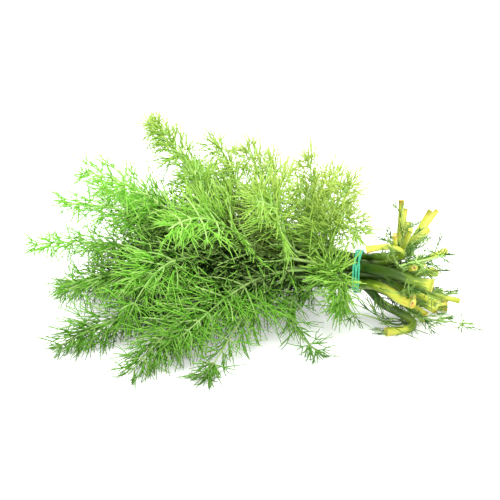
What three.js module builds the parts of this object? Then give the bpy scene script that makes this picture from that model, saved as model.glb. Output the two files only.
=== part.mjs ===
// A bunch of fresh dill laid on its side: cut stems held by a rubber band, each running on into one feathery frond.
// Millimetres, +Z up. Stems run along X with their cut ends at +X and the foliage at -X.
// While it is being worked out, the point on the surface right under the band is the origin. The last step
// moves the whole bunch so that its origin is the bottom centre of its box.
import * as THREE from "three";

const vec = (x, y, z) => new THREE.Vector3(x, y, z);
const rad = THREE.MathUtils.degToRad;
const UP = vec(0, 0, 1);
const sameNormal = (normal, forward) => normal.clone().addScaledVector(forward, -normal.dot(forward)).normalize();

// ---------- Driving dimensions ----------
const BAND_HEIGHT = 33; // the band's centre over the surface
const BAND_WIDTH = 5;
const BAND_THICKNESS = 1.2;
const TOUCH_GAP = 0.3; // between pieces that touch
const AIR = 0.26; // least clearance between foliage pieces
const SEED = 31;

const STEM_SIDES = 6;
const STEM_THIN = 1.45; // stem radii where they are cut
const STEM_THICK = 2.5;
const STEM_TOP = 1.25; // stem radius where its frond begins
const CUT_LENGTH = 50; // length of a stem past the band
const CUT_RAGGED = 12; // and how much that varies
const CUT_TALL = 6; // how much longer the topmost are
const CUT_START = 5; // past the band's centre, where the stems begin to spread
const CUT_SINK = 7.5; // how far the lowest of them also sink towards the surface
const CUT_SUNK = 45; // past the band's centre, where they have sunk that far
const CUT_HIGH = 100; // a stem this high over the surface doesn't sink
const SPREAD_ALONG = 32; // over this length they turn outwards
const SPREAD_ANGLE = 62; // of the outermost stems, in degrees
const SPREAD_RISE = 60; // as much more for those on top
const SPREAD_SINK = 34; // and less for those below
const SPREAD_EVEN = 0.6; // how much of it the inner stems get: 1 is in proportion, 0 is all of it
const SPREAD_MOST = 108; // the topmost lean back a little over the band
const LEAF_OPEN = 1.4; // how much wider the bundle is 100 mm into the foliage
const OUTER_EXIT = 14; // nearest and furthest that a frond leaves its stem
const INNER_EXIT = 76;

const RIB_ROOT = 1.15; // frond rib radii
const RIB_TIP = 0.5;
const LEAFLET_ROOT = 0.55; // side leaf radii
const LEAFLET_TIP = 0.4;
const COLLAR = 1.0; // length of the short bay that side growth stands on
const NODE_SPACING = 18; // along a rib, between its pairs of side leaves
const THREAD_LONG = 15; // longest thread
const THREAD_SHORT = 6;

// ---------- The fronds ----------
// Each frond's tip from the point under the band, how far back along the bunch its stem ends (exit), the length
// of its longest side leaf (breadth), and how far its rib bows up (arch) and out sideways (bow) from its chord.
const FRONDS = {
  crown_left: { tip: [-134, 6, 119], exit: 66, breadth: 38, arch: 14 },
  crown_back: { tip: [-106, 50, 93], exit: 52, breadth: 40, arch: 16 },
  crown_middle: { tip: [-74, 2, 107], exit: 40, breadth: 38, arch: 20 },
  crown_right: { tip: [-36, 8, 102], exit: 24, breadth: 38, arch: 30 },
  crown_front: { tip: [-58, -46, 92], exit: 32, breadth: 42, arch: 26 },
  over_band_high: { tip: [-8, -2, 90], exit: 18, cut: 53, breadth: 36, arch: 30 },
  over_band_low: { tip: [2, -18, 66], exit: 14, breadth: 32, arch: 30 },
  curtain: { tip: [-6, -40, 24], exit: 16, breadth: 28, arch: 34, bow: -6 },
  front_arch: { tip: [-140, -66, 30], exit: 22, breadth: 46, arch: 32, bow: 40 },
  front_star: { tip: [-104, -74, 82], exit: 42, breadth: 42, arch: 30, bow: 14 },
  front_fall: { tip: [-134, -74, 14], exit: 58, breadth: 36, arch: 66 },
  front_middle: { tip: [-96, -92, 18], exit: 28, breadth: 40, arch: 14 },
  left_high: { tip: [-170, -30, 96], exit: 66, breadth: 38, arch: 20 },
  left_upper: { tip: [-190, -22, 70], exit: 72, breadth: 38, arch: 20 },
  left_far: { tip: [-210, -28, 42], exit: 76, breadth: 26, arch: 14 },
  left_low: { tip: [-184, -48, 20], exit: 70, breadth: 38, arch: 22 },
  floor_left: { tip: [-200, -12, 5], exit: 74, breadth: 36, arch: 12 },
  floor_front_left: { tip: [-174, -94, 4], exit: 50, breadth: 38, arch: 18 },
  floor_front: { tip: [-120, -112, 4], exit: 38, breadth: 40, arch: 20 },
  floor_front_middle: { tip: [-76, -106, 4], exit: 26, breadth: 26, arch: 14 },
  floor_front_right: { tip: [-14, -64, 4], exit: 20, breadth: 18, arch: 8, bow: 34 },
  back_right: { tip: [-24, 60, 70], exit: 20, breadth: 38, arch: 24 },
  back_middle: { tip: [-74, 94, 62], exit: 36, breadth: 42, arch: 22 },
  back_left: { tip: [-132, 88, 64], exit: 56, breadth: 42, arch: 22 },
  left_back: { tip: [-186, 40, 58], exit: 70, breadth: 40, arch: 22 },
  floor_back_left: { tip: [-162, 82, 5], exit: 60, breadth: 40, arch: 14 },
  floor_back: { tip: [-96, 106, 5], exit: 40, breadth: 40, arch: 16 },
  floor_back_right: { tip: [-34, 76, 5], exit: 24, breadth: 38, arch: 18 },
};

// Stems that were bent, from the band outwards. Radius is where they are cut.
const BENT = {
  curtain: { radius: 3.2, route: [[11, -17.5, 31], [20, -24, 31.8], [30, -32, 30], [38, -37, 30]] },
  over_band_low: {
    radius: 1.9,
    route: [[13, -14, 49.5], [25, -19, 51.5], [29, -22, 56], [21, -24, 60.5], [7, -23, 57]],
  },
  front_arch: { radius: 3.1, route: [[12, -18.5, 42], [24, -26.5, 44.5], [37, -31.5, 43], [49, -33.5, 41.5]] },
  floor_front_right: {
    radius: 2.7,
    route: [
      [17, -12, 16],
      [28, -12, 10.5],
      [36, -12.5, 6],
      [37, -16, 3.6],
      [33, -19.5, 2.34],
      [27.5, -22.5, 2.34],
      [21.5, -25.5, 2.34],
    ],
  },
};

// Small leaves that stayed on the stems near their cut ends: the stem, where along it, and the tip.
const SPRIGS = {
  sprig_front: { stem: "floor_front_left", along: 34, tip: [-2, -40, 20], breadth: 20, arch: 4 },
  sprig_end: { stem: "floor_front_middle", along: 40, tip: [70, -28, 14], breadth: 12, arch: 2 },
  sprig_middle: { stem: "front_star", along: 34, tip: [54, -42, 66], breadth: 12, arch: 0 },
};

// A repeatable draw from 0 to 1 for any whole-number keys.
function draw(...keys) {
  let h = SEED >>> 0;
  for (const key of keys) {
    h = Math.imul((h ^ key) + 0x9e3779b9, 0x85ebca6b) >>> 0;
    h = (h ^ (h >>> 13)) >>> 0;
    h = Math.imul(h, 0xc2b2ae35) >>> 0;
    h = (h ^ (h >>> 16)) >>> 0;
  }
  return h / 4294967296;
}
const sway = (...keys) => 2 * draw(...keys) - 1;

// ---------- How the stems lie in the band ----------
// Each stem starts on the side that its frond leaves on, then the circles push apart and pull together.
function packedStems() {
  const stems = Object.entries(FRONDS).map(([name, frond], i) => {
    const [, y, z] = frond.tip; // the sooner its frond leaves, the further out the stem lies
    const away = Math.hypot(y, z - BAND_HEIGHT);
    const thick = draw(i, 1) * (z > 85 ? 0.2 : 1); // the topmost are thin
    const radius = BENT[name]?.radius ?? STEM_THIN + (STEM_THICK - STEM_THIN) * thick;
    const ring = 15 - (14 * (frond.exit - OUTER_EXIT)) / (INNER_EXIT - OUTER_EXIT);
    return { name, i, radius, y: (ring * y) / away, z: (ring * (z - BAND_HEIGHT)) / away };
  });
  for (let round = 0; round < 500; round++) {
    for (const s of stems) {
      s.y *= round < 350 ? 0.985 : 1;
      s.z *= round < 350 ? 0.985 : 1;
    }
    for (const a of stems) {
      for (const b of stems.slice(stems.indexOf(a) + 1)) {
        const need = a.radius + b.radius + TOUCH_GAP + 0.1;
        const apart = Math.hypot(b.y - a.y, b.z - a.z);
        if (apart < need) {
          const push = (need - apart) / 2 / Math.max(apart, 1e-6);
          const [dy, dz] = [(b.y - a.y) * push, (b.z - a.z) * push];
          a.y -= dy;
          a.z -= dz;
          b.y += dy;
          b.z += dz;
        }
      }
    }
  }
  const rim = Math.max(...stems.map((s) => Math.hypot(s.y, s.z)));
  for (const s of stems) s.share = Math.hypot(s.y, s.z) / rim;
  return stems;
}

// Where a stem's centre is, at a length past the band on its cut side, or into the foliage if the length is
// negative. All of it spreads in proportion to how far out a stem lies, so stems never meet.
function stemAt(stem, length) {
  const outward = Math.hypot(stem.y, stem.z);
  const at = (x, out) => vec(x, (stem.y * out) / outward, BAND_HEIGHT + (stem.z * out) / outward);
  if (length < 0) {
    const droop = stem.z < 0 ? 1 + 0.14 * (stem.z / outward) : 1;
    return at(length, outward * (1 + LEAF_OPEN * droop * (Math.max(0, -length - CUT_START) / 100) ** 1.5));
  }
  const sunk = ({ x, y, z }) => {
    const share = THREE.MathUtils.smoothstep(x, CUT_START, CUT_SUNK);
    return vec(x, y, z - CUT_SINK * share * (1 - z / CUT_HIGH));
  };
  const lift = (stem.z > 0 ? SPREAD_RISE : SPREAD_SINK) * (stem.z / outward);
  const steepest = rad(Math.min(SPREAD_MOST, stem.share ** SPREAD_EVEN * (SPREAD_ANGLE + lift)));
  let [x, out] = [CUT_START, outward];
  for (let run = 0.5; run < length; run += 1) {
    const angle = steepest * THREE.MathUtils.smoothstep(run, 0, SPREAD_ALONG);
    x += Math.cos(angle);
    out += Math.sin(angle);
  }
  return sunk(at(x, out));
}

function stemRoute(stem) {
  const exit = FRONDS[stem.name].exit;
  const inside = [-exit, -exit * 0.5, -CUT_START, 0].map((length) => stemAt(stem, length));
  if (BENT[stem.name]) return [...inside, ...BENT[stem.name].route.map((p) => vec(...p))];
  const upper = Math.max(0, stem.z / Math.hypot(stem.y, stem.z));
  const whole = FRONDS[stem.name].cut ?? CUT_LENGTH + CUT_RAGGED * sway(stem.i, 2) + CUT_TALL * upper;
  return [...inside, ...[10, 22, 36, whole].map((length) => stemAt(stem, length))];
}

// ---------- Room: what is already placed, as rods ----------
const CELL = 8;
const room = { cells: new Map(), rods: 0 };

function cellsOf(a, b, reach) {
  const found = [];
  const lo = a.clone().min(b).subScalar(reach).divideScalar(CELL).floor();
  const hi = a.clone().max(b).addScalar(reach).divideScalar(CELL).floor();
  for (let x = lo.x; x <= hi.x; x++)
    for (let y = lo.y; y <= hi.y; y++)
      for (let z = lo.z; z <= hi.z; z++) found.push(`${x},${y},${z}`);
  return found;
}

function placeRod(a, b, radius, owner) {
  const rod = { a: a.clone(), b: b.clone(), radius, owner };
  for (const key of cellsOf(a, b, radius)) {
    if (!room.cells.has(key)) room.cells.set(key, []);
    room.cells.get(key).push(rod);
  }
}

// Least distance between the segments p1-q1 and p2-q2.
function segmentGap(p1, q1, p2, q2) {
  const d1 = q1.clone().sub(p1);
  const d2 = q2.clone().sub(p2);
  const r = p1.clone().sub(p2);
  const [a, e, f] = [d1.dot(d1), d2.dot(d2), d2.dot(r)];
  const [b, c] = [d1.dot(d2), d1.dot(r)];
  const denom = a * e - b * b;
  const clamp = (v) => Math.min(1, Math.max(0, v));
  let s = denom > 1e-9 ? clamp((b * f - c * e) / denom) : 0;
  let t = (b * s + f) / e;
  if (t < 0) s = clamp(-c / a);
  else if (t > 1) s = clamp((b - c) / a);
  t = clamp(t);
  return p1.clone().addScaledVector(d1, s).distanceTo(p2.clone().addScaledVector(d2, t));
}

function isClear(a, b, radius, related) {
  for (const key of cellsOf(a, b, radius + 3)) {
    for (const rod of room.cells.get(key) ?? []) {
      if (related.has(rod.owner)) continue;
      if (segmentGap(a, b, rod.a, rod.b) < radius + rod.radius + AIR) return false;
    }
  }
  return true;
}

// ---------- Branches: a rib with stations, and side growth on its collars ----------
// A branch is { owner, stations: [{ at, radius }], normal, sides: [{ bay, branch }] }. Its last station is a point.
let owners = 0;

// Gives each station its direction, and a normal carried along from the one before, so that no bay is twisted.
// The stations come in pairs, the two ends of a collar, from the one numbered first on.
function framed(branch, first, root, normal, heading = null) {
  const s = branch.stations;
  s.forEach((station, i) => {
    const a = first + 2 * Math.floor((i - first) / 2);
    if (i < first) station.forward = heading;
    else if (i === s.length - 1) station.forward = station.at.clone().sub(i ? s[i - 1].at : root).normalize();
    else station.forward = s[a + 1].at.clone().sub(s[a].at).normalize();
    station.normal = sameNormal(i ? s[i - 1].normal : normal, station.forward);
  });
  return branch;
}

function rodsOf(branch, root) {
  const points = [{ at: root, radius: branch.stations[0].radius }, ...branch.stations];
  return points.slice(1).map((p, i) => [points[i].at, p.at, Math.max(points[i].radius, p.radius)]);
}

// Tries a branch in turn in each of its variants, and keeps the first that is clear of everything placed.
function settle(variants, root, related) {
  for (const branch of variants) {
    branch.owner = ++owners;
    const rods = rodsOf(branch, root);
    if (rods.every(([a, b, radius]) => isClear(a, b, radius, related))) {
      for (const [a, b, radius] of rods) placeRod(a, b, radius, branch.owner);
      return branch;
    }
  }
  return null;
}

const aboveSurface = (p, radius) => vec(p.x, p.y, Math.max(p.z, radius));

function* threadVariants(root, forward, side, length, thick) {
  const turns = [0, 14, -14, 28, -28, 42, -42];
  for (const share of [1, 0.78, 0.6]) {
    for (const turn of turns) {
      for (const lean of [0, 12, -10]) {
        const out = side.clone().applyAxisAngle(forward, rad(turn));
        const angle = rad(42 + lean);
        const to = forward.clone().multiplyScalar(Math.cos(angle)).addScaledVector(out, Math.sin(angle));
        const tip = aboveSurface(root.clone().addScaledVector(to, length * share), 0);
        yield framed({ stations: [{ at: tip, radius: thick }], sides: [] }, 0, root, forward);
      }
    }
  }
}

// Hangs up to three threads on a collar, one on each face of the rib.
function addThreads(branch, bay, length, related, faces, thick) {
  const { at, forward, normal: up, radius } = branch.stations[bay];
  const here = at.clone().lerp(branch.stations[bay + 1].at, 0.5);
  const across = up.clone().cross(forward);
  for (const [face, out] of [
    ["right", across.clone().multiplyScalar(0.87).addScaledVector(up, 0.5)],
    ["left", across.clone().multiplyScalar(-0.87).addScaledVector(up, 0.5)],
    ["under", up.clone().negate()],
  ].filter(([name]) => faces.includes(name))) {
    const root = here.clone().addScaledVector(out, radius * 0.5);
    const thread = settle(threadVariants(root, forward, out, length, thick), root, related);
    if (thread) branch.sides.push({ bay, branch: thread, out });
    if (thread) related = new Set([...related, thread.owner]);
  }
}

// One side leaf: a fine rib with one to three collars of threads and a pointed end.
function* leafletVariants(root, forward, side, length, collars) {
  for (const share of [1, 0.85, 0.7]) {
    for (const turn of [0, 12, -12, 24, -24, 36, -36, 50, -50]) {
      for (const lean of [0, 10, -10]) {
        const out = side.clone().applyAxisAngle(forward, rad(turn));
        const bearing = (degrees) =>
          forward.clone().multiplyScalar(Math.cos(rad(degrees))).addScaledVector(out, Math.sin(rad(degrees)));
        const long = length * share;
        const middle = root.clone().addScaledVector(bearing(62 + lean), long * 0.5);
        const end = middle.clone().addScaledVector(bearing(40 + lean), long * 0.5).addScaledVector(UP, -long * 0.08);
        const curve = new THREE.QuadraticBezierCurve3(root, middle, aboveSurface(end, 0));
        const collarShare = COLLAR / long;
        const stations = [];
        for (let k = 0; k < collars; k++) {
          const t = (k + 1.15) / (collars + 1) - 0.1;
          const radius = THREE.MathUtils.lerp(LEAFLET_ROOT, LEAFLET_TIP, t);
          for (const at of [t, t + collarShare]) stations.push({ at: aboveSurface(curve.getPoint(at), radius), radius });
        }
        stations.push({ at: curve.getPoint(1), radius: LEAFLET_TIP });
        yield framed({ stations, sides: [] }, 0, root, forward);
      }
    }
  }
}

// How long the side leaves are along a frond, as a share of its breadth.
const leafShape = (t) => Math.min(1, 0.62 + 1.9 * t) * (1 - 0.6 * t);

function frondRib(start, heading, { tip, arch, bow = 0 }, nodes, thickness) {
  const end = vec(...tip);
  const chord = end.clone().sub(start);
  const sideways = chord.clone().cross(UP).normalize();
  const lifted = UP.clone().projectOnPlane(chord.clone().normalize());
  const lead = start.clone().addScaledVector(heading, chord.length() * 0.34);
  const lift = start.clone().lerp(end, 0.62).addScaledVector(lifted, arch).addScaledVector(sideways, bow);
  const curve = new THREE.CubicBezierCurve3(start, lead, lift, end);
  const long = curve.getLength();
  const stations = [{ at: start, radius: RIB_ROOT * thickness }];
  for (let k = 0; k < nodes; k++) {
    const t = 0.16 + 0.76 * (k / (nodes - 1)) ** 0.9;
    const radius = THREE.MathUtils.lerp(RIB_ROOT, RIB_TIP, t) * thickness;
    for (const at of [t, t + (COLLAR * 1.3) / long]) stations.push({ at: aboveSurface(curve.getPoint(at), radius), radius });
  }
  stations.push({ at: aboveSurface(end, 0), radius: RIB_TIP * thickness });
  const core = vec(start.x - 20, 0, BAND_HEIGHT);
  const outward = end.clone().sub(core).normalize().multiplyScalar(0.55).addScaledVector(UP, 0.85);
  return framed({ stations, sides: [] }, 1, start, outward, heading);
}

// Moves a rib's middle about until the rib is clear of all that is placed.
function settledRib(name, start, heading, shape, thickness, kin) {
  const length = start.distanceTo(vec(...shape.tip));
  const nodes = Math.max(thickness < 1 ? 3 : 4, Math.round(length / NODE_SPACING));
  const steps = [0, 7, -7, 14, -14, 21, -21, 28, -28];
  const moves = steps.flatMap((arch) => steps.map((bow) => [arch, bow]));
  moves.sort((a, b) => Math.hypot(...a) - Math.hypot(...b));
  for (const [arch, bow] of moves) {
    const rib = frondRib(start, heading, { ...shape, arch: shape.arch + arch, bow: (shape.bow ?? 0) + bow }, nodes, thickness);
    const rods = rodsOf(rib, start).slice(1);
    if (!rods.every(([a, b, radius]) => isClear(a, b, radius, kin))) continue;
    for (const [a, b, radius] of rods) placeRod(a, b, radius, name);
    rib.owner = name;
    return rib;
  }
  throw new Error(`${name} has no room for its rib`);
}

// ---------- Mesh: rings joined by bays, with side growth rising from the bays' own faces ----------
class Skin {
  points = [];
  faces = [];
  point(at) {
    return this.points.push(at.clone()) - 1;
  }
  ring({ at, forward, normal, radius }, sides) {
    const across = normal.clone().cross(forward);
    const phase = sides === 3 ? Math.PI / 2 : 0;
    return Array.from({ length: sides }, (_, k) => {
      const angle = phase + (2 * Math.PI * k) / sides;
      const out = across.clone().multiplyScalar(Math.cos(angle)).addScaledVector(normal, Math.sin(angle));
      return this.point(at.clone().addScaledVector(out, radius));
    });
  }
  centre(loop) {
    return loop.reduce((sum, i) => sum.add(this.points[i]), vec(0, 0, 0)).divideScalar(loop.length);
  }
  // Turns a ring's order so that it meets the loop under it with the least twist.
  matched(loop, ring) {
    const turned = (shift) => ring.map((_, k) => ring[(k + shift) % ring.length]);
    const length = (order) => order.reduce((sum, i, k) => sum + this.points[i].distanceToSquared(this.points[loop[k]]), 0);
    return ring.map((_, shift) => turned(shift)).sort((a, b) => length(a) - length(b))[0];
  }
  // The faces between two rings. Each side growth takes the half face that looks most its way, as its root.
  bay(lower, upper, growth = []) {
    const roots = new Map();
    const middle = this.centre([...lower, ...upper]);
    for (const side of growth) {
      const looks = (k) => {
        const j = (k + 1) % lower.length;
        return this.centre([lower[k], lower[j], upper[j], upper[k]]).sub(middle).normalize().dot(side.out);
      };
      const free = lower.map((_, k) => k).filter((k) => !roots.has(k));
      roots.set(free.sort((a, b) => looks(b) - looks(a))[0], side);
    }
    lower.forEach((b, k) => {
      const j = (k + 1) % lower.length;
      this.faces.push([b, upper[j], upper[k]]);
      const near = [b, lower[j], upper[j]];
      if (roots.has(k)) this.grow(roots.get(k).branch, near);
      else this.faces.push(near);
    });
  }
  grow(branch, root) {
    let loop = root;
    const last = branch.stations.length - 1;
    branch.stations.slice(0, last).forEach((station, i) => {
      const ring = this.matched(loop, this.ring(station, 3));
      this.bay(loop, ring, branch.sides.filter((s) => s.bay === i - 1));
      loop = ring;
    });
    const tip = this.point(branch.stations[last].at);
    loop.forEach((b, k) => this.faces.push([b, loop[(k + 1) % loop.length], tip]));
  }
  // Closes a loop with a fan, facing along its own turn or against it.
  cap(loop, facing) {
    for (let k = 1; k < loop.length - 1; k++)
      this.faces.push(facing ? [loop[0], loop[k], loop[k + 1]] : [loop[0], loop[k + 1], loop[k]]);
  }
  mesh(name, material) {
    const geometry = new THREE.BufferGeometry();
    geometry.setAttribute("position", new THREE.Float32BufferAttribute(this.points.flatMap((p) => [p.x, p.y, p.z]), 3));
    geometry.setIndex(this.faces.flat());
    geometry.computeVertexNormals();
    const made = new THREE.Mesh(geometry, material);
    made.name = name;
    return made;
  }
}

// ---------- Materials ----------
const stemGreen = new THREE.MeshStandardMaterial({ color: 0xa5b52f, roughness: 0.5, metalness: 0 });
const leafGreen = new THREE.MeshStandardMaterial({ color: 0x5fae22, roughness: 0.55, metalness: 0 });
const bandGreen = new THREE.MeshStandardMaterial({ color: 0x35c795, roughness: 0.45, metalness: 0 });

// ---------- Stems ----------
function stemMesh(stem, route) {
  const skin = new Skin();
  let loop = null;
  route.forEach((at, i) => {
    const forward = route[Math.min(i + 1, route.length - 1)].clone().sub(route[Math.max(i - 1, 0)]).normalize();
    const across = UP.clone().cross(forward).normalize(); // level, so that each stem has a flat side down
    const radius = THREE.MathUtils.lerp(STEM_TOP, stem.radius, Math.min(1, i / 3));
    let ring = skin.ring({ at, forward, normal: forward.clone().cross(across), radius }, STEM_SIDES);
    if (loop) ring = skin.matched(loop, ring);
    if (loop) skin.bay(loop, ring);
    else skin.cap(ring, false);
    if (i) placeRod(route[i - 1], at, radius + TOUCH_GAP, `stem_${stem.name}`);
    loop = ring;
  });
  skin.cap(loop, true);
  return skin.mesh(`stem_${stem.name}`, stemGreen);
}

// ---------- Fronds ----------
function growFrond(name, rib, breadth, keys, related) {
  const nodes = (rib.stations.length - 2) / 2;
  for (let k = 0; k < nodes; k++) {
    const bay = 1 + 2 * k;
    const t = k / (nodes - 1);
    const { forward, normal: up } = rib.stations[bay];
    const across = up.clone().cross(forward);
    const here = rib.stations[bay].at.clone().lerp(rib.stations[bay + 1].at, 0.5);
    const length = breadth * leafShape(t) * (1 + 0.12 * sway(...keys, k, 3));
    const collars = length > 32 ? 3 : length > 18 ? 2 : 1;
    for (const hand of [1, -1]) {
      const lift = 0.3 + 0.35 * sway(...keys, k, hand + 5);
      const out = across.clone().multiplyScalar(hand).addScaledVector(up, lift).normalize();
      const root = here.clone().addScaledVector(out, rib.stations[bay].radius * 0.5);
      const kin = new Set([name, ...rib.sides.filter((s) => s.bay === bay).map((s) => s.branch.owner), ...related]);
      const leaflet = settle(leafletVariants(root, forward, out, length, collars), root, kin);
      if (leaflet) rib.sides.push({ bay, branch: leaflet, out });
    }
  }
  return rib;
}

function growThreads(rib, breadth, keys) {
  for (const { branch } of rib.sides.slice()) {
    const collars = (branch.stations.length - 1) / 2;
    for (let k = 0; k < collars; k++) {
      const length = THREAD_SHORT + (THREAD_LONG - THREAD_SHORT) * (1 - k / collars) * (0.6 + 0.4 * draw(...keys, k, 9));
      const kin = new Set([branch.owner]);
      addThreads(branch, 2 * k, Math.min(length, breadth * 0.5), kin, ["right", "left", "under"], 0.4);
    }
  }
  const nodes = (rib.stations.length - 2) / 2;
  for (let k = 0; k < nodes; k++) {
    const kin = new Set([rib.owner, ...rib.sides.filter((s) => s.bay === 1 + 2 * k).map((s) => s.branch.owner)]);
    addThreads(rib, 1 + 2 * k, THREAD_LONG * 0.8, kin, ["under"], 0.4);
  }
}

function frondMesh(name, rib) {
  const skin = new Skin();
  const base = skin.ring(rib.stations[0], 3);
  skin.cap(base, false);
  skin.grow({ ...rib, stations: rib.stations.slice(1), sides: rib.sides.map((s) => ({ ...s, bay: s.bay - 1 })) }, base);
  return skin.mesh(name, leafGreen);
}

// ---------- The band ----------
// It follows the outermost stems, as a stretched band does.
function bandMesh(stems) {
  const sections = 30;
  const hull = Array.from({ length: sections }, (_, k) => {
    const angle = (2 * Math.PI * k) / sections;
    const [ny, nz] = [Math.cos(angle), Math.sin(angle)];
    const reach = (s) => s.y * ny + s.z * nz + s.radius;
    const outermost = stems.reduce((best, s) => (reach(s) > reach(best) ? s : best));
    return { y: outermost.y, z: outermost.z, radius: outermost.radius, ny, nz };
  });
  const skin = new Skin();
  const corners = [[-0.5, 0], [0.5, 0], [0.5, 1], [-0.5, 1]];
  const loops = hull.map((h) =>
    corners.map(([w, t]) => {
      const out = h.radius + 2 * TOUCH_GAP + t * BAND_THICKNESS;
      return skin.point(vec(w * BAND_WIDTH, h.y + h.ny * out, BAND_HEIGHT + h.z + h.nz * out));
    }),
  );
  loops.forEach((loop, k) => skin.bay(loop, loops[(k + 1) % sections]));
  hull.forEach((h, k) => {
    const next = hull[(k + 1) % sections];
    const at = (p) => vec(0, p.y + p.ny * (p.radius + 1), BAND_HEIGHT + p.z + p.nz * (p.radius + 1));
    placeRod(at(h), at(next), 3.4, "band");
  });
  return skin.mesh("band", bandGreen);
}

// ---------- Putting the bunch together ----------
const bunch = new THREE.Group();
const stems = packedStems();
const routes = new Map(stems.map((stem) => [stem.name, stemRoute(stem)]));
for (const stem of stems) bunch.add(stemMesh(stem, routes.get(stem.name)));
bunch.add(bandMesh(stems));

const ribs = stems.map((stem) => {
  const route = routes.get(stem.name);
  const heading = route[0].clone().sub(route[1]).normalize();
  const start = route[0].clone().addScaledVector(heading, TOUCH_GAP);
  const [name, kin] = [`frond_${stem.name}`, new Set([`stem_${stem.name}`])];
  const rib = settledRib(name, start, heading, FRONDS[stem.name], 1, kin);
  return { name, rib, breadth: FRONDS[stem.name].breadth, keys: [stem.i, 11], kin };
});
Object.entries(SPRIGS).forEach(([name, sprig], i) => {
  const stem = stems.find((s) => s.name === sprig.stem);
  const on = stemAt(stem, sprig.along);
  const ahead = stemAt(stem, sprig.along + 1).sub(on).normalize();
  const heading = sameNormal(vec(0, stem.y, stem.z), ahead);
  const start = on.clone().addScaledVector(heading, stem.radius + 2 * TOUCH_GAP);
  const kin = new Set([`stem_${sprig.stem}`]);
  const rib = settledRib(name, start, heading, sprig, 0.7, kin);
  ribs.push({ name, rib, breadth: sprig.breadth, keys: [i, 77], kin });
});
for (const { name, rib, breadth, keys, kin } of ribs) growFrond(name, rib, breadth, keys, kin);
for (const { rib, breadth, keys } of ribs) growThreads(rib, breadth, keys);
for (const { name, rib } of ribs) bunch.add(frondMesh(name, rib));

const box = new THREE.Box3().setFromObject(bunch);
const middle = box.getCenter(vec(0, 0, 0));
bunch.position.set(-middle.x, -middle.y, -box.min.z);

export default bunch;
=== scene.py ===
"""A bunch of fresh dill laid on its side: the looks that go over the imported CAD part.

Lengths in the tables are in millimetres from the point on the surface right under the band, with +X towards
the cut ends. on_part() turns them into the part's own frame, in metres.
"""

import math
import random

import bmesh
import bpy
from bpy.props import FloatProperty, FloatVectorProperty, IntProperty, PointerProperty
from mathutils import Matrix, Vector
from mathutils.geometry import interpolate_bezier


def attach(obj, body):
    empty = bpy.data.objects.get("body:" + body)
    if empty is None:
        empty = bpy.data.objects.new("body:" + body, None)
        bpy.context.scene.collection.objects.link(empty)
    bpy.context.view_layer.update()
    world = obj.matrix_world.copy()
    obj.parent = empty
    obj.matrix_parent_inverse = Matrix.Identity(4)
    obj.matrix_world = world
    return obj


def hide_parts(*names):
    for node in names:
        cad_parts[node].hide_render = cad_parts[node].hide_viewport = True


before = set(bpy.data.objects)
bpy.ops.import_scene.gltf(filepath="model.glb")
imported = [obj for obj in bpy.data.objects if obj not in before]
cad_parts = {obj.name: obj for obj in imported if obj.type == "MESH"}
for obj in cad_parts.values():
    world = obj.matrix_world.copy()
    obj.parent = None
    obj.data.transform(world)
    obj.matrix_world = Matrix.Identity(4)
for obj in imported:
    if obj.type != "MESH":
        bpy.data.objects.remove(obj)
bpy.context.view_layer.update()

bl_info = {
    "name": "Dill bunch",
    "version": (1, 0, 0),
    "blender": (4, 5, 0),
    "location": "3D View > Sidebar > Dill",
    "description": "Grows the fronds, stems and band of a dill bunch over its CAD part",
    "category": "Object",
}

# ---------- Places and sizes that the part already has ----------
MM = 0.001
UP = Vector((0, 0, 1))
UNDER_BAND = Vector((68.211, 2.890, 0))  # in the part's frame
BAND_HEIGHT = 33
BAND_WIDTH = 5
BAND_CORNERS = 30  # of the CAD band's ring
STEM_SIDES = 6  # corners of a CAD stem's ring
CUT_START = 5  # past the band's centre, where the stems begin to spread
NODE_SPACING = 18  # along a rib, between its pairs of side leaves
SEED = 31
CAD_WELD = 0.01  # corners of a CAD mesh nearer than this are one
WELD = 0.0005  # and those of a finished piece

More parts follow.
